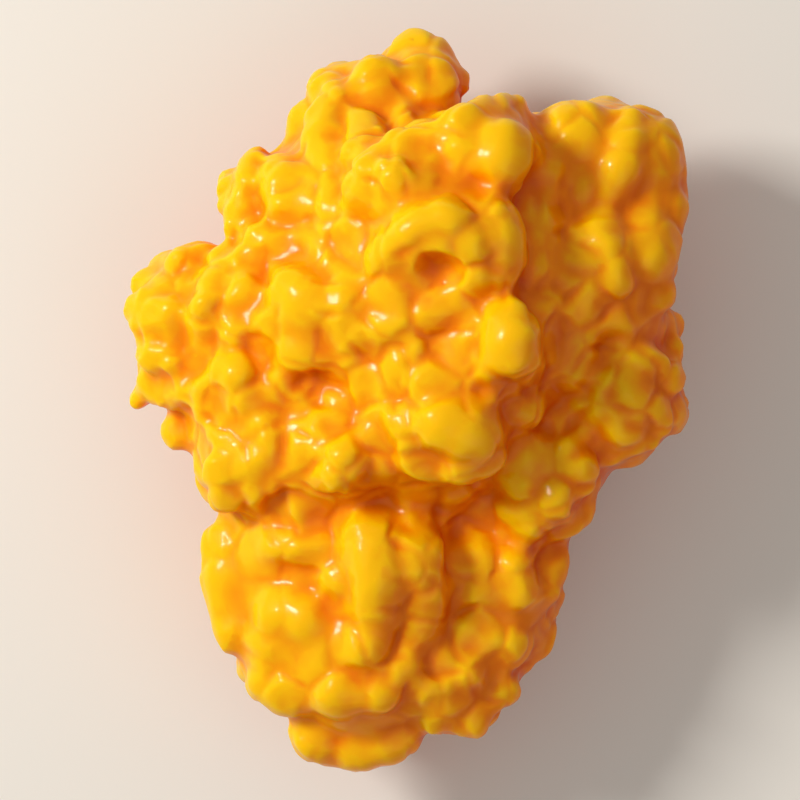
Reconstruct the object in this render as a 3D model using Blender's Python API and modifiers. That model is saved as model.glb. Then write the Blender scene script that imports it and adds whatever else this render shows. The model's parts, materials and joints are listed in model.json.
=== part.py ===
"""A golden ear fungus, Naematelia aurantialba, swollen with water: one jelly-like body, folded like a brain.

The body is one solid. It is modelled the way it grows: swollen lobes share one root and run into each other,
folds and knobs crowd their skin, and the root is cut flat where the fungus came off its wood. Lengths are in
metres. +Y points to the head and +X to the right, seen from above, and the origin is the middle of its base.
"""

import math
import random

import bmesh
import bpy
from mathutils import Matrix, Quaternion, Vector

MM = 0.001

# Driving sizes. They were read from a picture taken from above, where the body is 120 mm long.
CORE_GRID = 1.6 * MM  # grid on which the lobes run into each other
CORE_SMOOTHING = 8
FLESH = 1.2  # jelly that lies on the lobes between the folds, in millimetres
SINK = 0.05  # share of a fold's radius that its centre lies under the skin of the lobes
BEAD_SPACING = 0.5  # distance between the beads of a fold, as a share of their radius
BEAD_JITTER = (0.94, 1.1)  # a bead is this much of its fold's radius
KNOB_RADIUS = (3.0, 5.5)  # smallest and largest knob between the drawn folds, in millimetres
KNOB_STRETCH = (1.0, 1.9)  # how much longer than wide such a knob is
KNOB_SINK = 0.4  # share of its radius that it lies under the skin of the lobes
TOP_KNOB_SINK = 0.6  # the same share on skin that faces up, where the lobes are smoother
TOP_SLOPE = 0.4  # skin faces up where the height of its normal is over this
KNOB_GAP = 1.0  # nearest a knob comes to a fold or another knob, as a share of their two radii
SKIN_GRID = 0.8 * MM  # grid on which the folds are melted into one skin
SKIN_SMOOTHING = 1
CREASE_FILL = 0.3 * MM  # a crease narrower than twice this has grown together
WARP = 2.2 * MM  # how far the skin wanders, so that no knob stays a true ball
WARP_SCALE = 6.0 * MM
GOLD = (1.0, 0.42, 0.01, 1.0)
FACES = 11600
RAY_START = 100  # height over every lobe, in millimetres
MIDDLE_HEIGHT = 26  # where the lobes are widest, in millimetres

# The swollen lobes: centre and radii in millimetres.
LOBES = {
    "crown": ((6, 17, 29), (27, 25, 23)),
    "crown_top": ((11, 40, 40), (11, 6, 14)),
    "saddle": ((22, 38, 30), (9, 8, 15)),
    "crown_west": ((0, 34, 40), (8, 9, 15)),
    "crown_middle": ((7, 26, 42), (12, 10, 17)),
    "head": ((-3, 46.2, 23), (12, 9, 11.5)),
    "neck": ((-8, 41, 25), (9, 8, 14)),
    "ear": ((-23, 33, 24), (5, 7, 11)),
    "inner_ear": ((-14, 33, 29), (7, 8, 14)),
    "east_top": ((32, 39.5, 27), (9.5, 9, 15)),
    "east_middle": ((30, 22, 28), (13, 13, 17)),
    "east_rim": ((35.5, 30, 27), (7, 9, 13)),
    "east_low": ((34.5, 3, 25), (10, 12, 14)),
    "south_east": ((23, -11.5, 25), (8.5, 10, 15)),
    "egg": ((17, 9.5, 47), (5.5, 6, 8.5)),
    "bean": ((7, -2, 34), (13, 10, 19)),
    "west_top": ((-15, 14, 30), (11, 9, 18)),
    "west_middle": ((-27, 15, 27), (8, 9, 15)),
    "west": ((-36, 12, 25), (6.5, 12, 11)),
    "west_neck": ((-19, 24, 26), (9, 8, 15)),
    "west_floor": ((-22, 4, 25), (14, 12, 17)),
    "south_west": ((-23, -7, 26), (10, 11, 16)),
    "south_west_inner": ((-10, -8, 29), (10, 10, 17)),
    "apron": ((2, -8.5, 28), (13, 8, 17)),
    "waist": ((3, -12, 22), (20, 13, 12.5)),
    "foot": ((-6.5, -39, 22), (16, 15, 15)),
    "foot_tip": ((6, -42, 21), (12, 11, 12)),
    "foot_floor": ((-14, -22, 22.5), (14, 11, 14)),
    "foot_top": ((-3, -26, 26), (11, 10, 16)),
    "foot_west": ((-22, -28, 19), (7, 12, 12)),
    "foot_flank": ((-18, -38, 21), (9, 9, 13)),
    "foot_heel": ((15, -29, 20), (10, 15, 13)),
    "root": ((1, 4, 8), (17, 18, 13)),
}

# The folds, seen from above. Each group has the height that its folds stand over the lobes at most, and its
# folds, each drawn through points (x, y, radius). All are in millimetres.
FOLDS = {
    "head": (1.6, [
        [(3, 54.5, 6.3), (4, 49.5, 5.2)],
        [(-4, 51.5, 4.8)],
        [(8, 52, 3.3)],
        [(-10, 48.5, 3.7), (-13, 45, 3.3), (-13, 40.5, 3.3), (-10.5, 36.5, 3),
         (-12, 32.5, 3), (-11, 28, 2.6)],
        [(-16.5, 46, 2.6), (-18, 42.5, 1.9)],
        [(-6, 44.5, 3.3), (-6.5, 40, 3)],
        [(0, 45, 3.3)],
        [(-8.5, 35.5, 1.9)],
    ]),
    "ear": (2.2, [
        [(-23.5, 39, 3.3), (-25, 34.5, 3), (-26, 29, 3.3)],
        [(-19.5, 37.5, 3.3), (-19, 32.5, 3.3)],
        [(-28, 36.5, 2.2), (-28, 32, 2.2)],
        [(-23, 27, 2.6)],
    ]),
    "crown": (2.4, [
        [(-4.5, 38, 3.3), (-7, 33.5, 3), (-8.5, 28, 2.6)],
        [(-2.5, 40.5, 2.6), (2, 42, 2.6), (6, 43, 2.6)],
        [(9, 44.5, 3.3), (13.5, 46, 3.7), (17, 46, 3.7)],
        [(4, 39, 2.2), (3.5, 35, 2.2)],
        [(-1, 36, 3.3)],
        [(16, 41, 5.2), (15.5, 36.5, 4.1)],
        [(12.5, 33.5, 1.9)],
        [(20.5, 40, 2.6)],
        [(19, 32, 2.6)],
        [(-3.5, 22.5, 3.3), (-0.5, 26, 3.3), (3, 28.5, 3.3), (6.5, 29.5, 3.3), (9, 29, 3)],
        [(11, 26, 2.6), (12, 22, 2.6), (10.5, 18, 2.6), (7.5, 15, 2.6), (3.5, 15.5, 2.2)],
        [(-0.5, 19.5, 2.6), (0.5, 16.5, 2.2)],
        [(14.5, 28.5, 4.8), (15.5, 23.5, 4.8), (14, 19, 3.3)],
    ]),
    "curls": (1.3, [
        [(20.5, 28, 4.8), (20.5, 22.5, 4.4)],
        [(22.5, 33.5, 3.3), (25, 29, 3)],
        [(26.5, 28, 2.2), (29, 23.5, 2.2), (30, 19, 2.2), (29, 16, 2.2)],
        [(26, 23, 2.2), (26.5, 19, 2.2)],
        [(23.5, 16, 2.2), (27.5, 14, 1.9)],
        [(32, 25.5, 3), (33.5, 21, 3)],
    ]),
    "east_top": (1.1, [
        [(27.5, 42, 7)],
        [(28.5, 35, 5.5)],
        [(38, 40.5, 7), (39, 32, 7), (38, 24.5, 6.3)],
        [(32, 26.5, 4.8), (33.5, 20.5, 4.4)],
        [(40.5, 18, 4.1)],
    ]),
    "east_ridge": (2.6, [
        [(36.5, 45, 3.3), (35.5, 39, 3.7), (33, 33.5, 3.3)],
    ]),
    "east": (1.2, [
        [(29.5, 13.5, 2.6), (34.5, 13.5, 2.6), (39, 13, 3), (43, 12.5, 3)],
        [(30.5, 9.5, 2.2), (35.5, 8, 2.6), (40.5, 6, 3), (43.5, 4, 3)],
        [(31, 5, 2.2), (35.5, 2.5, 2.6), (39.5, -0.5, 3)],
        [(32, 0.5, 2.6), (35, -3.5, 3), (38, -5.5, 3)],
        [(28, 10.5, 3.7), (26.5, 5, 3.7)],
        [(43.5, 8.5, 2.6)],
        [(33.5, -7.5, 3)],
        [(29, 0.5, 3)],
        [(41, -2, 3)],
    ]),
    "egg": (2.8, [
        [(17, 12, 4.8), (18, 8.5, 4.8)],
        [(14, 6.5, 3)],
        [(12.5, 13.5, 3), (10.5, 10.5, 2.6), (9, 7.5, 2.6)],
        [(3.5, 14, 2.2), (6.5, 12.5, 2.2)],
        [(-3, 12, 3.3), (0, 13, 3)],
        [(-3.5, 18, 2.2), (-2, 16, 1.9)],
    ]),
    "bean": (2.2, [
        [(1.5, 8.5, 3), (-1.5, 5.5, 3), (-2, 1, 2.6)],
        [(-0.5, -2, 2.2), (0.5, -5, 2.2), (2, -9, 2.6), (5, -11.5, 2.6)],
        [(3.5, 4, 4.1), (9, 3.5, 4.4)],
        [(6.5, -3, 5.2), (11.5, -4.5, 5.2)],
        [(9.5, -9.5, 4.4), (13.5, -8, 3.7)],
        [(13.5, 1, 2.6)],
    ]),
    "south_east": (1.8, [
        [(19, -1, 4.1)],
        [(20, -7.5, 3.7), (19.5, -12, 3.3)],
        [(18, -17.5, 3), (21.5, -19, 3)],
        [(24.5, -3, 3.7)],
        [(26, -9, 4.1), (28.5, -11.5, 3.7)],
        [(24.5, -15, 3.7)],
        [(30, -5, 3.3)],
    ]),
    "west_top": (2.4, [
        [(-17, 18, 5.2), (-13.5, 15.5, 4.8)],
        [(-24, 25, 2.2), (-20, 26.5, 2.2), (-15.5, 26.5, 2.6), (-12, 24, 2.2)],
        [(-17.5, 9, 3.3), (-13, 9, 4.1)],
        [(-8, 11.5, 3.7), (-8.5, 17, 3.7)],
        [(-7, 6, 2.6), (-10.5, 7, 2.2)],
    ]),
    "west": (2.2, [
        [(-35.5, 22.5, 3.3), (-32, 23.5, 3)],
        [(-42.5, 19.5, 2.6)],
        [(-41, 15, 4.1), (-37.5, 14, 3.3)],
        [(-29, 23, 2.6), (-30, 19, 3), (-31.5, 14, 3), (-32, 10.5, 2.2)],
        [(-26, 22, 3), (-25.5, 17.5, 3.3)],
        [(-26.5, 12, 3)],
        [(-40.5, 8, 2.6), (-37.5, 7.5, 3)],
        [(-42.5, 1, 2.6), (-40.5, 3.5, 2.2)],
        [(-38, 1.5, 3), (-35, 2.5, 3)],
        [(-36, -5, 3)],
        [(-21.5, 12.5, 2.2)],
    ]),
    "south_west": (2.2, [
        [(-29, 5.5, 3), (-32, 2.5, 2.6), (-31.5, -1, 2.6)],
        [(-26, 4.5, 3.3), (-24.5, 0, 3)],
        [(-20, 3, 3), (-16, 0.5, 3.3)],
        [(-29, -5, 2.6)],
        [(-29, -10, 3.3), (-28, -14.5, 3.3)],
        [(-22, -3, 3), (-20.5, -8, 2.6), (-20.5, -12.5, 2.2)],
        [(-24, -8.5, 1.9), (-24, -13.5, 2.2), (-23, -17.5, 1.9)],
        [(-17, -3, 2.6), (-16.5, -7.5, 2.2), (-17, -12, 2.2)],
        [(-16.5, -16.5, 3)],
        [(-14, 5, 2.6)],
        [(-8.5, -7.5, 3.3), (-10.5, -11, 3.7)],
        [(-13, -2, 2.2), (-13, -5.5, 2.2)],
        [(-10.5, 1.5, 3), (-9.5, -2.5, 2.6)],
        [(-6.5, 3, 2.6), (-3.5, 3.5, 2.2)],
        [(-6.5, -2, 2.2), (-3.5, -0.5, 2.2)],
        [(-4.5, -5, 3), (-3, -9, 2.6)],
    ]),
    "foot_top": (1.8, [
        [(-5, -22.5, 4.8), (-4, -28, 4.8), (-4.5, -33.5, 4.4), (-6, -39.5, 3.7)],
        [(0.5, -19.5, 3), (5, -19, 3)],
        [(2, -24, 4.8), (3.5, -30, 4.8), (2, -36.5, 4.8)],
        [(8, -25, 3), (8, -31.5, 3)],
    ]),
    "foot_west": (1.2, [
        [(-27.5, -23.5, 5.5), (-27, -30, 5.9), (-26, -36.5, 4.8)],
        [(-19.5, -22.5, 4.1), (-13.5, -23, 3.7)],
        [(-10.5, -28, 3)],
    ]),
    "foot_dome": (2.6, [
        [(-18, -33.5, 6.3), (-15, -35, 5.2)],
    ]),
    "foot_south": (1.6, [
        [(-21.5, -44.5, 4.4), (-17, -46, 4.8)],
        [(-10, -46, 4.8), (-4, -46, 4.4)],
        [(-13.5, -53.5, 5.2), (-7, -55, 4.8), (-0.5, -53, 4.4)],
        [(5, -46, 3.7), (6, -50, 4.1)],
        [(10.5, -50.5, 4.1)],
        [(0.5, -42.5, 3.3)],
    ]),
    "foot_east": (1.6, [
        [(12.5, -24, 3.3), (12.5, -30, 3.3)],
        [(14, -38.5, 4.4), (18, -39, 3.7)],
        [(18, -25, 4.1), (19, -30.5, 3.7)],
        [(10.5, -43.5, 3.3)],
        [(15.5, -46, 4.1)],
        [(24.5, -24.5, 3), (23.5, -29.5, 3)],
        [(10, -36.5, 3)],
    ]),
}

# The cup in the crown, seen from above. A ball presses it in: where its middle lies, how high that is over
# the lobes, and its radii, all in millimetres.
CUPS = [((5.5, 19.8), 1.8, (4.5, 4.0, 4.2))]


def clear_scene():
    for obj in list(bpy.data.objects):
        bpy.data.objects.remove(obj)


def ball_mesh():
    bpy.ops.mesh.primitive_ico_sphere_add(subdivisions=3, radius=1)
    ball = bpy.context.object
    mesh = ball.data
    bpy.data.objects.remove(ball)
    return mesh


def add_swelling(ball, collection, centre, radii, turn=None):
    """A ball stretched to the radii, both in millimetres, with its size and place in the mesh itself."""
    own = ball.copy()
    own.transform(Matrix.LocRotScale(Vector(centre) * MM, turn, Vector(radii) * MM))
    swelling = bpy.data.objects.new("swelling", own)
    collection.objects.link(swelling)
    return swelling


def new_collection(name):
    collection = bpy.data.collections.new(name)
    bpy.context.scene.collection.children.link(collection)
    return collection


def keep_result(body):
    """Turns what the modifiers make of the body into its mesh."""
    graph = bpy.context.evaluated_depsgraph_get()
    body.data = bpy.data.meshes.new_from_object(body.evaluated_get(graph))
    body.modifiers.clear()


def join(body, collection, operation):
    boolean = body.modifiers.new(operation.lower(), "BOOLEAN")
    boolean.operation = operation
    boolean.operand_type = "COLLECTION"
    boolean.collection = collection
    boolean.solver = "MANIFOLD"
    keep_result(body)
    for swelling in list(collection.objects):
        bpy.data.objects.remove(swelling)
    bpy.data.collections.remove(collection)


def melt(body, grid, smoothing):
    """Redraws the body as one skin with rounded creases."""
    remesh = body.modifiers.new("skin", "REMESH")
    remesh.mode = "VOXEL"
    remesh.voxel_size = grid
    smooth = body.modifiers.new("round_creases", "SMOOTH")
    smooth.factor = 0.5
    smooth.iterations = smoothing
    keep_result(body)


def warp(body):
    """Pulls the skin this way and that, so that no knob stays a true ball."""
    clouds = bpy.data.textures.new("wander", "CLOUDS")
    clouds.cloud_type = "COLOR"
    clouds.noise_scale = WARP_SCALE
    clouds.noise_depth = 0
    clouds.noise_basis = "IMPROVED_PERLIN"
    wander = body.modifiers.new("wander", "DISPLACE")
    wander.texture = clouds
    wander.texture_coords = "LOCAL"
    wander.direction = "RGB_TO_XYZ"
    wander.mid_level = 0.5
    wander.strength = WARP
    keep_result(body)


def grow_lobes(ball):
    lobes = new_collection("lobes")
    swellings = [(centre, [radius + FLESH for radius in radii]) for centre, radii in LOBES.values()]
    for centre, radii in swellings[1:]:
        add_swelling(ball, lobes, centre, radii)
    body = add_swelling(ball, bpy.context.scene.collection, *swellings[0])
    body.name = "golden_ear"
    join(body, lobes, "UNION")
    melt(body, CORE_GRID, CORE_SMOOTHING)
    return body


def skin_under(body, x, y):
    """The lobes' skin under (x, y), in millimetres; past the edge, level with the nearest skin."""
    hit, point, _, _ = body.ray_cast(Vector((x, y, RAY_START)) * MM, Vector((0, 0, -1)))
    if not hit:
        _, point, _, _ = body.closest_point_on_mesh(Vector((x, y, MIDDLE_HEIGHT)) * MM)
    return Vector((x, y, point.z / MM))


def fold_beads(body):
    """Beads (centre, radius) in millimetres, close enough along each fold to read as one ridge."""
    rng = random.Random(5)
    beads = []
    for rise, folds in FOLDS.values():
        for fold in folds:
            drawn = []
            for (x0, y0, r0), (x1, y1, r1) in zip(fold, fold[1:]):
                steps = math.ceil(math.hypot(x1 - x0, y1 - y0) / (BEAD_SPACING * min(r0, r1)))
                for step in range(steps):
                    share = step / steps
                    drawn.append((x0 + (x1 - x0) * share, y0 + (y1 - y0) * share, r0 + (r1 - r0) * share))
            drawn.append(fold[-1])
            for x, y, radius in drawn:
                point = skin_under(body, x, y)
                point.z -= max(FLESH + SINK * radius, radius - rise)
                beads.append((point, radius * rng.uniform(*BEAD_JITTER)))
    return beads


def filling_knobs(body, beads):
    """Knobs (centre, radii, turn) in millimetres wherever the skin is still bare, each lying its own way."""
    rng = random.Random(11)
    spots = [(face.center / MM, face.normal.copy()) for face in body.data.polygons]
    rng.shuffle(spots)
    taken = list(beads)
    knobs = []
    for point, normal in spots:
        radius = rng.uniform(*KNOB_RADIUS)
        crowded = any((point - other).length < KNOB_GAP * (radius + size) for other, size in taken)
        if crowded or point.z < radius:
            continue
        taken.append((point, radius))
        stretch = rng.uniform(*KNOB_STRETCH)
        turn = normal.to_track_quat("Z", "X") @ Quaternion((0, 0, 1), rng.uniform(0, math.pi))
        sink = TOP_KNOB_SINK if normal.z > TOP_SLOPE else KNOB_SINK
        centre = point - normal * (FLESH + sink * radius)
        knobs.append((centre, (radius * stretch, radius, radius), turn))
    return knobs


def fill_creases(body):
    """Grows narrow creases together: the skin is pushed out, redrawn, and pushed back in."""
    for depth in (CREASE_FILL, -CREASE_FILL):
        push = body.modifiers.new("push", "DISPLACE")
        push.mid_level = 0
        push.strength = depth
        remesh = body.modifiers.new("skin", "REMESH")
        remesh.mode = "VOXEL"
        remesh.voxel_size = SKIN_GRID
    keep_result(body)


def grow_folds(ball, body):
    folds = new_collection("folds")
    cups = new_collection("cups")
    beads = fold_beads(body)
    for centre, radius in beads:
        add_swelling(ball, folds, centre, (radius,) * 3)
    for centre, radii, turn in filling_knobs(body, beads):
        add_swelling(ball, folds, centre, radii, turn)
    for middle, rise, radii in CUPS:
        add_swelling(ball, cups, skin_under(body, *middle) + Vector((0, 0, rise)), radii)
    join(body, folds, "UNION")
    melt(body, SKIN_GRID, SKIN_SMOOTHING)
    fill_creases(body)
    join(body, cups, "DIFFERENCE")
    melt(body, SKIN_GRID, SKIN_SMOOTHING)
    warp(body)


def keep_largest_piece(body):
    """Drops loose scraps, and fills any hollow that the folds sealed in, by keeping only the outer skin."""
    mesh = bmesh.new()
    mesh.from_mesh(body.data)
    left = set(mesh.verts)
    pieces = []
    while left:
        piece = [left.pop()]
        for vertex in piece:
            for edge in vertex.link_edges:
                other = edge.other_vert(vertex)
                if other in left:
                    left.remove(other)
                    piece.append(other)
        pieces.append(piece)
    pieces.sort(key=len)
    for piece in pieces[:-1]:
        bmesh.ops.delete(mesh, geom=piece, context="VERTS")
    mesh.to_mesh(body.data)
    mesh.free()


def thin_out(body):
    body.data.calc_loop_triangles()
    decimate = body.modifiers.new("thin_out", "DECIMATE")
    decimate.ratio = FACES / len(body.data.loop_triangles)
    decimate.use_collapse_triangulate = True
    keep_result(body)


def cut_from_wood(body):
    """Slices the root off flat at height zero, where it was cut from its branch."""
    wood = new_collection("wood")
    side = 2 * max(body.dimensions)
    bpy.ops.mesh.primitive_cube_add(size=side, location=(0, 0, -side / 2))
    block = bpy.context.object
    block.users_collection[0].objects.unlink(block)
    wood.objects.link(block)
    join(body, wood, "DIFFERENCE")


def centre_on_base(body):
    corners = [Vector(corner) for corner in body.bound_box]
    body.data.transform(Matrix.Translation(-(corners[0] + corners[6]) / 2 * Vector((1, 1, 0))))


def jelly():
    material = bpy.data.materials.new("golden_jelly")
    material.use_nodes = True
    shader = material.node_tree.nodes["Principled BSDF"]
    shader.inputs["Base Color"].default_value = GOLD
    shader.inputs["Roughness"].default_value = 0.25
    shader.inputs["Subsurface Weight"].default_value = 0.4
    shader.inputs["Subsurface Scale"].default_value = 3 * MM
    return material


def main():
    clear_scene()
    ball = ball_mesh()
    body = grow_lobes(ball)
    grow_folds(ball, body)
    keep_largest_piece(body)
    thin_out(body)
    cut_from_wood(body)
    centre_on_base(body)
    body.data.materials.clear()
    body.data.materials.append(jelly())
    body.data.shade_smooth()
    fungus = new_collection("golden_ear_fungus")
    bpy.context.scene.collection.objects.unlink(body)
    fungus.objects.link(body)


main()
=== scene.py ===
"""A golden ear fungus, Naematelia aurantialba, swollen with water, on a pale table, seen from above."""

import json
import math
import random

import bmesh
import bpy
import numpy as np
from mathutils import Matrix, Quaternion, Vector

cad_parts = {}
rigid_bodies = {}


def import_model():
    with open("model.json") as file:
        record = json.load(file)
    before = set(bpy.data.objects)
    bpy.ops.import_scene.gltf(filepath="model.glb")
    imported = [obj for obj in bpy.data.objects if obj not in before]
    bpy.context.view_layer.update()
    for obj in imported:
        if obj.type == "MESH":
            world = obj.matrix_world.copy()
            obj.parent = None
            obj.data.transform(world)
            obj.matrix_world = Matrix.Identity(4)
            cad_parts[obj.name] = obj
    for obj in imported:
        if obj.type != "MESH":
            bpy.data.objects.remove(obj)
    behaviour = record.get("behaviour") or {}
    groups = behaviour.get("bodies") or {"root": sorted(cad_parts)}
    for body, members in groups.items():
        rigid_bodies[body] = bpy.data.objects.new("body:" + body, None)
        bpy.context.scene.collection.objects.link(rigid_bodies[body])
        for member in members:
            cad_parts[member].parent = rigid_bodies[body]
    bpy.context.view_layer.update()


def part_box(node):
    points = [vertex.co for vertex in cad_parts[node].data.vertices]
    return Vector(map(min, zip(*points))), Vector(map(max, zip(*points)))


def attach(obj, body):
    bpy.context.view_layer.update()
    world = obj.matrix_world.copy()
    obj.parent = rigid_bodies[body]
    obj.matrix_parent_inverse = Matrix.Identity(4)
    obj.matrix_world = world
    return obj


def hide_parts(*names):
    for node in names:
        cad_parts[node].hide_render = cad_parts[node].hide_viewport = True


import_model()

# Swollen lobes
# The fruit body swells out of one root in blunt lobes that press against each other and grow together. Inside
# they are one firm white mass, and outside they carry a thick layer of golden jelly.

MM = 0.001
LOBE_GRID = 1.6 * MM  # distance between two points of the skin
LOBE_SMOOTHING = 8  # passes that round the creases
FLESH = 1.2  # thickness of the jelly on a bare lobe, in millimetres

# Centre and radii of each lobe in millimetres.
LOBES = {
    "crown": ((6, 17, 29), (27, 25, 23)),
    "crown_top": ((11, 40, 40), (11, 6, 14)),
    "saddle": ((22, 38, 30), (9, 8, 15)),
    "crown_west": ((0, 34, 40), (8, 9, 15)),
    "crown_middle": ((7, 26, 42), (12, 10, 17)),
    "head": ((-3, 46.2, 23), (12, 9, 11.5)),
    "neck": ((-8, 41, 25), (9, 8, 14)),
    "ear": ((-23, 33, 24), (5, 7, 11)),
    "inner_ear": ((-14, 33, 29), (7, 8, 14)),
    "east_top": ((32, 39.5, 27), (9.5, 9, 15)),
    "east_middle": ((30, 22, 28), (13, 13, 17)),
    "east_rim": ((35.5, 30, 27), (7, 9, 13)),
    "east_low": ((34.5, 3, 25), (10, 12, 14)),
    "south_east": ((23, -11.5, 25), (8.5, 10, 15)),
    "egg": ((17, 9.5, 47), (5.5, 6, 8.5)),
    "bean": ((7, -2, 34), (13, 10, 19)),
    "west_top": ((-15, 14, 30), (11, 9, 18)),
    "west_middle": ((-27, 15, 27), (8, 9, 15)),
    "west": ((-36, 12, 25), (6.5, 12, 11)),
    "west_neck": ((-19, 24, 26), (9, 8, 15)),
    "west_floor": ((-22, 4, 25), (14, 12, 17)),
    "south_west": ((-23, -7, 26), (10, 11, 16)),
    "south_west_inner": ((-10, -8, 29), (10, 10, 17)),
    "apron": ((2, -8.5, 28), (13, 8, 17)),
    "waist": ((3, -12, 22), (20, 13, 12.5)),
    "foot": ((-6.5, -39, 22), (16, 15, 15)),
    "foot_tip": ((6, -42, 21), (12, 11, 12)),
    "foot_floor": ((-14, -22, 22.5), (14, 11, 14)),
    "foot_top": ((-3, -26, 26), (11, 10, 16)),
    "foot_west": ((-22, -28, 19), (7, 12, 12)),
    "foot_flank": ((-18, -38, 21), (9, 9, 13)),
    "foot_heel": ((15, -29, 20), (10, 15, 13)),
    "root": ((1, 4, 8), (17, 18, 13)),
}


def select_none():
    for obj in list(bpy.context.selected_objects):
        obj.select_set(False)


def apply_modifiers(obj):
    """Applies every modifier of the object, first to last."""
    select_none()
    obj.select_set(True)
    bpy.context.view_layer.objects.active = obj
    for modifier in list(obj.modifiers):
        bpy.ops.object.modifier_apply(modifier=modifier.name)


def model_ball():
    """One swelling of radius 1, the start of every lobe, fold and knob."""
    select_none()
    bpy.ops.mesh.primitive_ico_sphere_add(subdivisions=3, radius=1)
    ball = bpy.context.object
    mesh = ball.data
    bpy.data.objects.remove(ball)
    return mesh


def group_named(name):
    group = bpy.data.collections.new(name)
    bpy.context.scene.collection.children.link(group)
    return group


def copy_ball(group, centre, radii, turn=None):
    """A copy of the ball with its own mesh, stretched to the radii and put in place, all in millimetres."""
    mesh = ball_mesh.copy()
    mesh.transform(Matrix.LocRotScale(Vector(centre) * MM, turn, Vector(radii) * MM))
    swelling = bpy.data.objects.new("swelling", mesh)
    group.objects.link(swelling)
    return swelling


def join_group(body, group, operation):
    """Adds the group's swellings to the body or takes them from it, and removes them."""
    boolean = body.modifiers.new(operation.lower(), "BOOLEAN")
    boolean.operation = operation
    boolean.operand_type = "COLLECTION"
    boolean.collection = group
    boolean.solver = "MANIFOLD"
    apply_modifiers(body)
    for swelling in list(group.objects):
        bpy.data.objects.remove(swelling)
    bpy.data.collections.remove(group)


def draw_skin(body, grid, smoothing):
    """Draws one skin over the body on a grid, and rounds its creases."""
    remesh = body.modifiers.new("skin", "REMESH")
    remesh.mode = "VOXEL"
    remesh.voxel_size = grid
    smooth = body.modifiers.new("round_creases", "SMOOTH")
    smooth.factor = 0.5
    smooth.iterations = smoothing
    apply_modifiers(body)


ball_mesh = model_ball()
lobe_group = group_named("lobes")
lobe_names = list(LOBES)
for lobe_name in lobe_names[1:]:
    centre, radii = LOBES[lobe_name]
    copy_ball(lobe_group, centre, [radius + FLESH for radius in radii])
centre, radii = LOBES[lobe_names[0]]
fungus = copy_ball(bpy.context.scene.collection, centre, [radius + FLESH for radius in radii])
fungus.name = "golden_ear_skin"
join_group(fungus, lobe_group, "UNION")
draw_skin(fungus, LOBE_GRID, LOBE_SMOOTHING)

# Folds and knobs
# The jelly outgrows the lobes that carry it, so it lies on them in fat folds, curls and knobs like those of
# a brain. The folds that show from above run where they do on the real body, and knobs crowd in on the rest.

FOLD_SINK = 0.05  # how much deeper than the bare lobe's flesh a bead's middle lies, as a share of its radius
BEAD_SPACING = 0.5  # distance between two beads of a fold, as a share of their radius
BEAD_JITTER = (0.94, 1.1)  # how much smaller or larger than its fold a bead grows
FOLD_SEED = 5
KNOB_RADIUS = (3.0, 5.5)  # in millimetres
KNOB_STRETCH = (1.0, 1.9)  # how many times as long as wide a knob is
KNOB_SINK = 0.4  # how much deeper than the bare lobe's flesh a knob's middle lies, as a share of its radius
TOP_KNOB_SINK = 0.6  # the same on skin that faces up, where the knobs are flatter
TOP_SLOPE = 0.4  # skin faces up where its normal rises by more than this
KNOB_SEED = 11
SKIN_GRID = 0.55 * MM  # distance between two points of the finished skin
SKIN_SMOOTHING = 2
CREASE_FILL = 0.8 * MM  # creases narrower than twice this have grown together
RAY_START = 100  # a height over the body, in millimetres
MIDDLE_HEIGHT = 26  # the height of the body's widest outline, in millimetres

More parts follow.
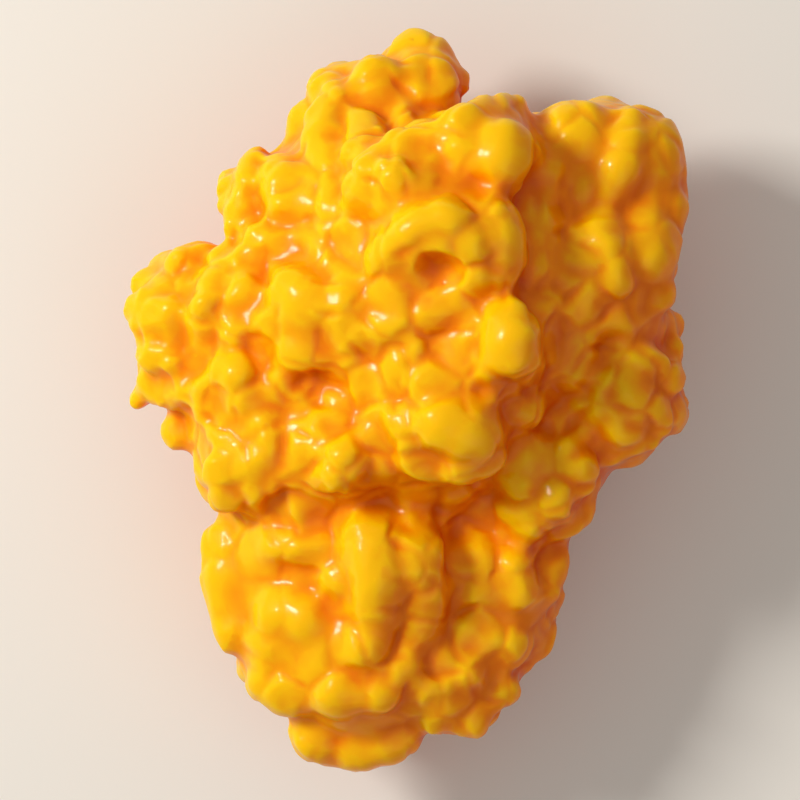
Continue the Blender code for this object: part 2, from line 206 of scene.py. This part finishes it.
# Each group of folds: its greatest height over the lobes, and each fold's points (x, y, radius), in mm.
FOLDS = {
    "head": (1.6, [
        [(3, 54.5, 6.3), (4, 49.5, 5.2)],
        [(-4, 51.5, 4.8)],
        [(8, 52, 3.3)],
        [(-10, 48.5, 3.7), (-13, 45, 3.3), (-13, 40.5, 3.3), (-10.5, 36.5, 3),
         (-12, 32.5, 3), (-11, 28, 2.6)],
        [(-16.5, 46, 2.6), (-18, 42.5, 1.9)],
        [(-6, 44.5, 3.3), (-6.5, 40, 3)],
        [(0, 45, 3.3)],
        [(-8.5, 35.5, 1.9)],
    ]),
    "ear": (2.2, [
        [(-23.5, 39, 3.3), (-25, 34.5, 3), (-26, 29, 3.3)],
        [(-19.5, 37.5, 3.3), (-19, 32.5, 3.3)],
        [(-28, 36.5, 2.2), (-28, 32, 2.2)],
        [(-23, 27, 2.6)],
    ]),
    "crown": (2.4, [
        [(-4.5, 38, 3.3), (-7, 33.5, 3), (-8.5, 28, 2.6)],
        [(-2.5, 40.5, 2.6), (2, 42, 2.6), (6, 43, 2.6)],
        [(9, 44.5, 3.3), (13.5, 46, 3.7), (17, 46, 3.7)],
        [(4, 39, 2.2), (3.5, 35, 2.2)],
        [(-1, 36, 3.3)],
        [(16, 41, 5.2), (15.5, 36.5, 4.1)],
        [(12.5, 33.5, 1.9)],
        [(20.5, 40, 2.6)],
        [(19, 32, 2.6)],
        [(-3.5, 22.5, 3.3), (-0.5, 26, 3.3), (3, 28.5, 3.3), (6.5, 29.5, 3.3), (9, 29, 3)],
        [(11, 26, 2.6), (12, 22, 2.6), (10.5, 18, 2.6), (7.5, 15, 2.6), (3.5, 15.5, 2.2)],
        [(-0.5, 19.5, 2.6), (0.5, 16.5, 2.2)],
        [(14.5, 28.5, 4.8), (15.5, 23.5, 4.8), (14, 19, 3.3)],
    ]),
    "curls": (1.3, [
        [(20.5, 28, 4.8), (20.5, 22.5, 4.4)],
        [(22.5, 33.5, 3.3), (25, 29, 3)],
        [(26.5, 28, 2.2), (29, 23.5, 2.2), (30, 19, 2.2), (29, 16, 2.2)],
        [(26, 23, 2.2), (26.5, 19, 2.2)],
        [(23.5, 16, 2.2), (27.5, 14, 1.9)],
        [(32, 25.5, 3), (33.5, 21, 3)],
    ]),
    "east_top": (1.1, [
        [(27.5, 42, 7)],
        [(28.5, 35, 5.5)],
        [(38, 40.5, 7), (39, 32, 7), (38, 24.5, 6.3)],
        [(32, 26.5, 4.8), (33.5, 20.5, 4.4)],
        [(40.5, 18, 4.1)],
    ]),
    "east_ridge": (2.6, [
        [(36.5, 45, 3.3), (35.5, 39, 3.7), (33, 33.5, 3.3)],
    ]),
    "east": (1.2, [
        [(29.5, 13.5, 2.6), (34.5, 13.5, 2.6), (39, 13, 3), (43, 12.5, 3)],
        [(30.5, 9.5, 2.2), (35.5, 8, 2.6), (40.5, 6, 3), (43.5, 4, 3)],
        [(31, 5, 2.2), (35.5, 2.5, 2.6), (39.5, -0.5, 3)],
        [(32, 0.5, 2.6), (35, -3.5, 3), (38, -5.5, 3)],
        [(28, 10.5, 3.7), (26.5, 5, 3.7)],
        [(43.5, 8.5, 2.6)],
        [(33.5, -7.5, 3)],
        [(29, 0.5, 3)],
        [(41, -2, 3)],
    ]),
    "egg": (2.8, [
        [(17, 12, 4.8), (18, 8.5, 4.8)],
        [(14, 6.5, 3)],
        [(12.5, 13.5, 3), (10.5, 10.5, 2.6), (9, 7.5, 2.6)],
        [(3.5, 14, 2.2), (6.5, 12.5, 2.2)],
        [(-3, 12, 3.3), (0, 13, 3)],
        [(-3.5, 18, 2.2), (-2, 16, 1.9)],
    ]),
    "bean": (2.2, [
        [(1.5, 8.5, 3), (-1.5, 5.5, 3), (-2, 1, 2.6)],
        [(-0.5, -2, 2.2), (0.5, -5, 2.2), (2, -9, 2.6), (5, -11.5, 2.6)],
        [(3.5, 4, 4.1), (9, 3.5, 4.4)],
        [(6.5, -3, 5.2), (11.5, -4.5, 5.2)],
        [(9.5, -9.5, 4.4), (13.5, -8, 3.7)],
        [(13.5, 1, 2.6)],
    ]),
    "south_east": (1.8, [
        [(19, -1, 4.1)],
        [(20, -7.5, 3.7), (19.5, -12, 3.3)],
        [(18, -17.5, 3), (21.5, -19, 3)],
        [(24.5, -3, 3.7)],
        [(26, -9, 4.1), (28.5, -11.5, 3.7)],
        [(24.5, -15, 3.7)],
        [(30, -5, 3.3)],
    ]),
    "west_top": (2.4, [
        [(-17, 18, 5.2), (-13.5, 15.5, 4.8)],
        [(-24, 25, 2.2), (-20, 26.5, 2.2), (-15.5, 26.5, 2.6), (-12, 24, 2.2)],
        [(-17.5, 9, 3.3), (-13, 9, 4.1)],
        [(-8, 11.5, 3.7), (-8.5, 17, 3.7)],
        [(-7, 6, 2.6), (-10.5, 7, 2.2)],
    ]),
    "west": (2.2, [
        [(-35.5, 22.5, 3.3), (-32, 23.5, 3)],
        [(-42.5, 19.5, 2.6)],
        [(-41, 15, 4.1), (-37.5, 14, 3.3)],
        [(-29, 23, 2.6), (-30, 19, 3), (-31.5, 14, 3), (-32, 10.5, 2.2)],
        [(-26, 22, 3), (-25.5, 17.5, 3.3)],
        [(-26.5, 12, 3)],
        [(-40.5, 8, 2.6), (-37.5, 7.5, 3)],
        [(-42.5, 1, 2.6), (-40.5, 3.5, 2.2)],
        [(-38, 1.5, 3), (-35, 2.5, 3)],
        [(-36, -5, 3)],
        [(-21.5, 12.5, 2.2)],
    ]),
    "south_west": (2.2, [
        [(-29, 5.5, 3), (-32, 2.5, 2.6), (-31.5, -1, 2.6)],
        [(-26, 4.5, 3.3), (-24.5, 0, 3)],
        [(-20, 3, 3), (-16, 0.5, 3.3)],
        [(-29, -5, 2.6)],
        [(-29, -10, 3.3), (-28, -14.5, 3.3)],
        [(-22, -3, 3), (-20.5, -8, 2.6), (-20.5, -12.5, 2.2)],
        [(-24, -8.5, 1.9), (-24, -13.5, 2.2), (-23, -17.5, 1.9)],
        [(-17, -3, 2.6), (-16.5, -7.5, 2.2), (-17, -12, 2.2)],
        [(-16.5, -16.5, 3)],
        [(-14, 5, 2.6)],
        [(-8.5, -7.5, 3.3), (-10.5, -11, 3.7)],
        [(-13, -2, 2.2), (-13, -5.5, 2.2)],
        [(-10.5, 1.5, 3), (-9.5, -2.5, 2.6)],
        [(-6.5, 3, 2.6), (-3.5, 3.5, 2.2)],
        [(-6.5, -2, 2.2), (-3.5, -0.5, 2.2)],
        [(-4.5, -5, 3), (-3, -9, 2.6)],
    ]),
    "foot_top": (1.8, [
        [(-5, -22.5, 4.8), (-4, -28, 4.8), (-4.5, -33.5, 4.4), (-6, -39.5, 3.7)],
        [(0.5, -19.5, 3), (5, -19, 3)],
        [(2, -24, 4.8), (3.5, -30, 4.8), (2, -36.5, 4.8)],
        [(8, -25, 3), (8, -31.5, 3)],
    ]),
    "foot_west": (1.2, [
        [(-27.5, -23.5, 5.5), (-27, -30, 5.9), (-26, -36.5, 4.8)],
        [(-19.5, -22.5, 4.1), (-13.5, -23, 3.7)],
        [(-10.5, -28, 3)],
    ]),
    "foot_dome": (2.6, [
        [(-18, -33.5, 6.3), (-15, -35, 5.2)],
    ]),
    "foot_south": (1.6, [
        [(-21.5, -44.5, 4.4), (-17, -46, 4.8)],
        [(-10, -46, 4.8), (-4, -46, 4.4)],
        [(-13.5, -53.5, 5.2), (-7, -55, 4.8), (-0.5, -53, 4.4)],
        [(5, -46, 3.7), (6, -50, 4.1)],
        [(10.5, -50.5, 4.1)],
        [(0.5, -42.5, 3.3)],
    ]),
    "foot_east": (1.6, [
        [(12.5, -24, 3.3), (12.5, -30, 3.3)],
        [(14, -38.5, 4.4), (18, -39, 3.7)],
        [(18, -25, 4.1), (19, -30.5, 3.7)],
        [(10.5, -43.5, 3.3)],
        [(15.5, -46, 4.1)],
        [(24.5, -24.5, 3), (23.5, -29.5, 3)],
        [(10, -36.5, 3)],
    ]),
}

# The cup in the crown. A ball presses it in: x, y, height over the lobes, and radii, all in millimetres.
CUPS = [(5.6, 19.6, 2.4, (5.2, 4.8, 5.0))]


def fill_creases(body, reach):
    """Closes creases narrower than twice the reach: the skin is pushed out, and back in."""
    for depth in (reach, -reach):
        push = body.modifiers.new("push", "DISPLACE")
        push.direction = "NORMAL"
        push.mid_level = 0
        push.strength = depth
        remesh = body.modifiers.new("skin", "REMESH")
        remesh.mode = "VOXEL"
        remesh.voxel_size = SKIN_GRID
    apply_modifiers(body)


def skin_under(body, x, y):
    """The lobes' skin under (x, y), in millimetres; past the edge, level with the nearest skin."""
    hit, point, _, _ = body.ray_cast(Vector((x, y, RAY_START)) * MM, Vector((0, 0, -1)))
    if not hit:
        _, point, _, _ = body.closest_point_on_mesh(Vector((x, y, MIDDLE_HEIGHT)) * MM)
    return Vector((x, y, point.z / MM))


def fold_beads(body):
    """Beads (centre, radius) in millimetres, close enough along each fold to read as one ridge."""
    rng = random.Random(FOLD_SEED)
    beads = []
    for rise, folds in FOLDS.values():
        for fold in folds:
            drawn = []
            for (x0, y0, r0), (x1, y1, r1) in zip(fold, fold[1:]):
                steps = math.ceil(math.hypot(x1 - x0, y1 - y0) / (BEAD_SPACING * min(r0, r1)))
                for step in range(steps):
                    share = step / steps
                    drawn.append((x0 + (x1 - x0) * share, y0 + (y1 - y0) * share, r0 + (r1 - r0) * share))
            drawn.append(fold[-1])
            for x, y, radius in drawn:
                point = skin_under(body, x, y)
                depth = max(FLESH + FOLD_SINK * radius, radius - rise)
                beads.append((point - Vector((0, 0, depth)), radius * rng.uniform(*BEAD_JITTER)))
    return beads


def filling_knobs(body, beads):
    """Knobs (centre, radii, turn) in millimetres wherever the skin is still bare, each lying its own way."""
    rng = random.Random(KNOB_SEED)
    spots = [(face.center / MM, face.normal.copy()) for face in body.data.polygons]
    rng.shuffle(spots)
    taken = list(beads)
    knobs = []
    for point, normal in spots:
        radius = rng.uniform(*KNOB_RADIUS)
        crowded = any((point - other).length < radius + size for other, size in taken)
        if crowded or point.z < radius:
            continue
        taken.append((point, radius))
        stretch = rng.uniform(*KNOB_STRETCH)
        turn = normal.to_track_quat("Z", "X") @ Quaternion((0, 0, 1), rng.uniform(0, math.pi))
        sink = TOP_KNOB_SINK if normal.z > TOP_SLOPE else KNOB_SINK
        knobs.append((point - normal * (FLESH + sink * radius), (radius * stretch, radius, radius), turn))
    return knobs


fold_group = group_named("folds")
beads = fold_beads(fungus)
for centre, radius in beads:
    copy_ball(fold_group, centre, (radius,) * 3)
for centre, radii, turn in filling_knobs(fungus, beads):
    copy_ball(fold_group, centre, radii, turn)
cup_group = group_named("cups")
for x, y, rise, radii in CUPS:
    copy_ball(cup_group, skin_under(fungus, x, y) + Vector((0, 0, rise)), radii)
join_group(fungus, fold_group, "UNION")
draw_skin(fungus, SKIN_GRID, SKIN_SMOOTHING)
fill_creases(fungus, CREASE_FILL)
join_group(fungus, cup_group, "DIFFERENCE")
draw_skin(fungus, SKIN_GRID, SKIN_SMOOTHING)

# Wet skin
# Soaked jelly swells unevenly, so its skin wanders, is pinched into fine creases and is faintly puckered.
# Underneath, the body was cut off its branch with a knife, which left a small flat face.

WANDER = 1.5 * MM  # how far the skin wanders, from one side to the other
WANDER_SIZE = 6 * MM  # and from one swell to the next
PUCKERS = ((0.45 * MM, 3.4 * MM), (0.16 * MM, 1.5 * MM))  # depth and size of each kind of pucker
CELL = 7 * MM  # width of the skin between two fine creases
CREASE_SHARE = 0.17  # share of that width that slopes down to the crease
CREASE_DEPTH = 0.43 * MM
TRIANGLES = 190000
SMOOTH_SHARE = 0.8  # how much of the creases and puckers is gone in the middle of a smooth patch
# Patches that swelled smooth, each with its middle x, y and its reach in millimetres.
SMOOTH_PATCHES = [
    (17.0, 10.0, 10), (3.7, 27.8, 11), (14.8, 41.4, 10), (18.5, 26.6, 10), (35.2, 35.9, 16), (44.4, 19.2, 15),
    (-16.3, -34.8, 11), (-4.8, -28.9, 10), (-27.8, -28.9, 12), (-9.3, -52.9, 13), (8.5, -4.8, 10),
    (-16.7, 17.4, 7.4),
]


def rows_of(items, name, width, kind=float):
    """The named values of every item, one row each."""
    rows = np.empty(len(items) * width, dtype=kind)
    items.foreach_get(name, rows)
    return rows.reshape(-1, width)


def mark_rough_skin(body):
    """Weights each point of the skin by how rough it is there."""
    points = rows_of(body.data.vertices, "co", 3) / MM
    rough = np.ones(len(points))
    for x, y, reach in SMOOTH_PATCHES:
        near = np.clip(1 - np.hypot(points[:, 0] - x, points[:, 1] - y) / reach, 0, 1)
        rough *= 1 - SMOOTH_SHARE * near * near * (3 - 2 * near)
    group = body.vertex_groups.new(name="rough")
    for index, weight in enumerate(rough):
        group.add((index,), weight, "REPLACE")


def displace(body, name, depth, size, kind, direction):
    """Moves the skin by soft clouds of the given depth and size, wherever it is rough."""
    clouds = bpy.data.textures.new(name, "CLOUDS")
    clouds.cloud_type = kind
    clouds.noise_scale = size
    clouds.noise_depth = 0
    clouds.noise_basis = "IMPROVED_PERLIN"
    push = body.modifiers.new(name, "DISPLACE")
    push.texture = clouds
    push.texture_coords = "LOCAL"
    push.direction = direction
    push.vertex_group = "rough"
    push.mid_level = 0.5
    push.strength = depth
    apply_modifiers(body)


def pinch_creases(body):
    """Presses a net of narrow creases into the skin, between cells as wide as a small fold."""
    cells = bpy.data.textures.new("cells", "VORONOI")
    cells.noise_scale = CELL
    cells.weight_1 = -1
    cells.weight_2 = 1
    cells.use_color_ramp = True
    cells.color_ramp.elements[0].position = 0
    cells.color_ramp.elements[0].color = (0, 0, 0, 1)
    cells.color_ramp.elements[1].position = CREASE_SHARE
    cells.color_ramp.elements[1].color = (1, 1, 1, 1)
    cells.color_ramp.interpolation = "EASE"
    pinch = body.modifiers.new("pinch", "DISPLACE")
    pinch.texture = cells
    pinch.texture_coords = "LOCAL"
    pinch.vertex_group = "rough"
    pinch.mid_level = 1
    pinch.strength = CREASE_DEPTH
    apply_modifiers(body)


def thin_out(body):
    """Leaves the mesh no heavier than it needs to be."""
    body.data.calc_loop_triangles()
    count = len(body.data.loop_triangles)
    decimate = body.modifiers.new("thin_out", "DECIMATE")
    decimate.ratio = min(1, TRIANGLES / count)
    decimate.use_collapse_triangulate = True
    apply_modifiers(body)


def keep_largest_piece(body):
    """Drops loose scraps and sealed hollows, by keeping only the outer skin."""
    mesh = bmesh.new()
    mesh.from_mesh(body.data)
    left = set(mesh.verts)
    pieces = []
    while left:
        piece = [left.pop()]
        for vertex in piece:
            for edge in vertex.link_edges:
                other = edge.other_vert(vertex)
                if other in left:
                    left.remove(other)
                    piece.append(other)
        pieces.append(piece)
    pieces.sort(key=len)
    for piece in pieces[:-1]:
        bmesh.ops.delete(mesh, geom=piece, context="VERTS")
    mesh.to_mesh(body.data)
    mesh.free()


def cut_from_branch(body):
    """Slices the root off flat at height zero."""
    branch = group_named("branch")
    side = 2 * max(body.dimensions)
    select_none()
    bpy.ops.mesh.primitive_cube_add(size=side, location=(0, 0, -side / 2))
    block = bpy.context.object
    block.users_collection[0].objects.unlink(block)
    branch.objects.link(block)
    join_group(body, branch, "DIFFERENCE")


mark_rough_skin(fungus)
pinch_creases(fungus)
displace(fungus, "wander", WANDER, WANDER_SIZE, "COLOR", "RGB_TO_XYZ")
keep_largest_piece(fungus)
for number, (depth, size) in enumerate(PUCKERS):
    displace(fungus, f"pucker_{number}", depth, size, "GRAYSCALE", "NORMAL")
thin_out(fungus)
cut_from_branch(fungus)
middle = (Vector(fungus.bound_box[0]) + Vector(fungus.bound_box[6])) / 2
low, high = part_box("golden_ear")
fungus.data.transform(Matrix.Translation(((low + high) / 2 - middle) * Vector((1, 1, 0))))
fungus.data.shade_smooth()
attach(fungus, "root")
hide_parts("golden_ear")

# Golden jelly
# A polysaccharide gel full of water, coloured by carotenoids, with light running through it. The deep orange
# of the creases and of the side away from the light and the golden yellow of the crests are painted shade and
# painted light in its colour, under a film of water that gives sharp glints.

PIGMENT_AND_PAINTED_SHADE = ((0.3, "dc5600"), (0.53, "f68b00"), (0.76, "ffbe04"))  # from painted shade in creases to painted light on lit crests
# How much of the colour follows the clouds of pigment, and how much follows each mark of painted shade and
# light.
CLOUD_SHARE = 0.14
MARK_SHARES = (("fine_crease_shade", 0.18), ("broad_crease_shade", 0.16), ("painted_light_facing", 0.5))
PAINTED_LIGHT_SIDE = (-0.7, 0.3, 0.65)  # painted light: the side facing the window is painted paler, the side away from it deeper orange
FINE_PASSES = 6  # passes of averaging that even out the crests
FINE_HEIGHT = 0.25  # height of a crest over its close neighbourhood, in millimetres
BROAD_PASSES = 50  # and those that even out the folds
BROAD_HEIGHT = 1.2  # height of a fold over its wide neighbourhood, in millimetres
FACING_PASSES = 5  # and those that even out which way the skin faces


def linear(code):
    """The linear colour of an sRGB hex code."""
    parts = [int(code[i:i + 2], 16) / 255 for i in (0, 2, 4)]
    return tuple(p / 12.92 if p <= 0.04045 else ((p + 0.055) / 1.055) ** 2.4 for p in parts) + (1.0,)


def add_node(tree, kind, settings=(), **links):
    """Adds a node with its settings, as (name or input, value), and its links, as input=socket."""
    node = tree.nodes.new(kind)
    for key, value in settings:
        if isinstance(key, str) and hasattr(node, key):
            setattr(node, key, value)
        else:
            node.inputs[key].default_value = value
    for key, socket in links.items():
        tree.links.new(socket, node.inputs[key.replace("_", " ")])
    return node


def spread(values, edges, count):
    """Averages each point's values over its neighbours."""
    near = np.bincount(edges.ravel(), minlength=count)
    total = [np.bincount(edges[:, 0], values[edges[:, 1], axis], count)
             + np.bincount(edges[:, 1], values[edges[:, 0], axis], count) for axis in range(3)]
    return np.stack(total, axis=1) / near[:, None]


def mark_painted_shade_and_light(body):
    """Stores on each point, from 0 to 1, how far it is on a crest and how far it faces the light: marks for
    painted shade in the creases and painted light on the crests and on the lit side.
    """
    mesh = body.data
    points = rows_of(mesh.vertices, "co", 3)
    normals = rows_of(mesh.vertices, "normal", 3)
    ends = rows_of(mesh.edges, "vertices", 2, np.int64)
    smoothed = points.copy()
    facing = normals.copy()
    marks = {}
    for step in range(1, BROAD_PASSES + 1):
        smoothed = spread(smoothed, ends, len(points))
        if step <= FACING_PASSES:
            facing = spread(facing, ends, len(points))
        height = ((points - smoothed) * normals).sum(axis=1) / MM
        if step == FINE_PASSES:
            marks["fine_crease_shade"] = height / FINE_HEIGHT
    marks["broad_crease_shade"] = height / BROAD_HEIGHT
    facing /= np.linalg.norm(facing, axis=1)[:, None]
    marks["painted_light_facing"] = facing @ np.array(Vector(PAINTED_LIGHT_SIDE).normalized())
    for name, mark in marks.items():
        layer = mesh.attributes.new(name, "FLOAT", "POINT")
        layer.data.foreach_set("value", np.clip(0.5 + 0.5 * mark, 0, 1).astype(np.float32))


mark_painted_shade_and_light(fungus)
jelly = bpy.data.materials.new("wet_golden_jelly")
jelly.use_nodes = True
tree = jelly.node_tree
shader = tree.nodes["Principled BSDF"]
place = add_node(tree, "ShaderNodeTexCoord")
# Pigment is laid down unevenly, in clouds some 9 mm across.
where = place.outputs["Object"]
clouds = add_node(tree, "ShaderNodeTexNoise", [("Scale", 110.0), ("Detail", 3.0)], Vector=where)
total = add_node(tree, "ShaderNodeMath", [("operation", "MULTIPLY"), (1, CLOUD_SHARE)])
tree.links.new(clouds.outputs["Fac"], total.inputs[0])
for name, share in MARK_SHARES:
    mark = add_node(tree, "ShaderNodeAttribute", [("attribute_name", name)])
    added = add_node(tree, "ShaderNodeMath", [("operation", "MULTIPLY_ADD"), (1, share)])
    tree.links.new(mark.outputs["Fac"], added.inputs[0])
    tree.links.new(total.outputs[0], added.inputs[2])
    total = added
# The sum sets the colour: painted shade in the creases and on the side away from the window, painted light on
# the crests and the side facing it, over clouds of real pigment.
ramp = add_node(tree, "ShaderNodeValToRGB", Fac=total.outputs[0])
stops = ramp.color_ramp.elements
stops.new(0.5)
for stop, (position, colour) in zip(stops, PIGMENT_AND_PAINTED_SHADE):
    stop.position = position
    stop.color = linear(colour)
tree.links.new(ramp.outputs["Color"], shader.inputs["Base Color"])
# The skin is finely puckered where the film of water is thin, 1.2 mm from pucker to pucker.
fine = add_node(tree, "ShaderNodeTexNoise", [("Scale", 800.0), ("Detail", 2.0)], Vector=where)
bump_depth = [("Strength", 0.25), ("Distance", 0.15 * MM)]
bump = add_node(tree, "ShaderNodeBump", bump_depth, Height=fine.outputs["Fac"])
tree.links.new(bump.outputs["Normal"], shader.inputs["Normal"])
shader.inputs["Roughness"].default_value = 0.4
shader.inputs["Specular IOR Level"].default_value = 0.06
# Light soaks some 2 mm into the gel and comes out again, red the deepest, which softens every fold.
shader.inputs["Subsurface Weight"].default_value = 0.85
shader.inputs["Subsurface Radius"].default_value = (1.0, 0.5, 0.1)
shader.inputs["Subsurface Scale"].default_value = 2.2 * MM
# The coat is the film of water, and gives the glints.
shader.inputs["Coat Weight"].default_value = 0.4
shader.inputs["Coat Roughness"].default_value = 0.05
shader.inputs["Coat IOR"].default_value = 1.33
fungus.data.materials.clear()
fungus.data.materials.append(jelly)

# Table, light and camera
# A plain pale table top, a soft light from the left as from a window, and a camera straight above.

TABLE_COLOUR = "e9e2d6"
TABLE_SIDE = 3  # in metres, like the camera's figures
TABLE_GAP = 0.2 * MM  # keeps the table off the flat face that rests on it
CAMERA_HEIGHT = 2.0
FIELD = 0.1295  # width of the picture at the middle of the body
AIM = (-0.0011, 0, 0.025)  # the middle of the body, which the camera and both lights face

select_none()
table_place = (0, 0, -TABLE_GAP)
bpy.ops.mesh.primitive_grid_add(x_subdivisions=2, y_subdivisions=2, size=TABLE_SIDE, location=table_place)
table_top = bpy.context.object
table_top.name = "table_top"
paper = bpy.data.materials.new("pale_table")
paper.use_nodes = True
paper_shader = paper.node_tree.nodes["Principled BSDF"]
paper_shader.inputs["Base Color"].default_value = linear(TABLE_COLOUR)
paper_shader.inputs["Roughness"].default_value = 0.6
table_top.data.materials.append(paper)


def add_light(name, place, size, power):
    """A square, soft, white light that faces the middle of the body."""
    light = bpy.data.lights.new(name, "AREA")
    light.shape = "SQUARE"
    light.size = size
    light.energy = power
    lamp = bpy.data.objects.new(name, light)
    lamp.location = place
    lamp.rotation_euler = (Vector(AIM) - Vector(place)).to_track_quat("-Z", "Y").to_euler()
    bpy.context.scene.collection.objects.link(lamp)


add_light("window", (-0.56, 0.26, 0.54), 0.22, 5.4)
add_light("room", (0.4, -0.5, 0.8), 0.8, 1)
world = bpy.data.worlds.new("soft_room")
world.use_nodes = True
sky = world.node_tree.nodes["Background"]
sky.inputs["Color"].default_value = linear("ffffff")
sky.inputs["Strength"].default_value = 0.38
bpy.context.scene.world = world
bpy.context.scene.view_settings.view_transform = "Standard"
lens = bpy.data.cameras.new("camera")
lens.sensor_width = 36
lens.lens = lens.sensor_width * (CAMERA_HEIGHT - AIM[2]) / FIELD
lens.clip_start = 0.05
camera = bpy.data.objects.new("camera", lens)
camera.location = (AIM[0], AIM[1], CAMERA_HEIGHT)
bpy.context.scene.collection.objects.link(camera)
bpy.context.scene.camera = camera
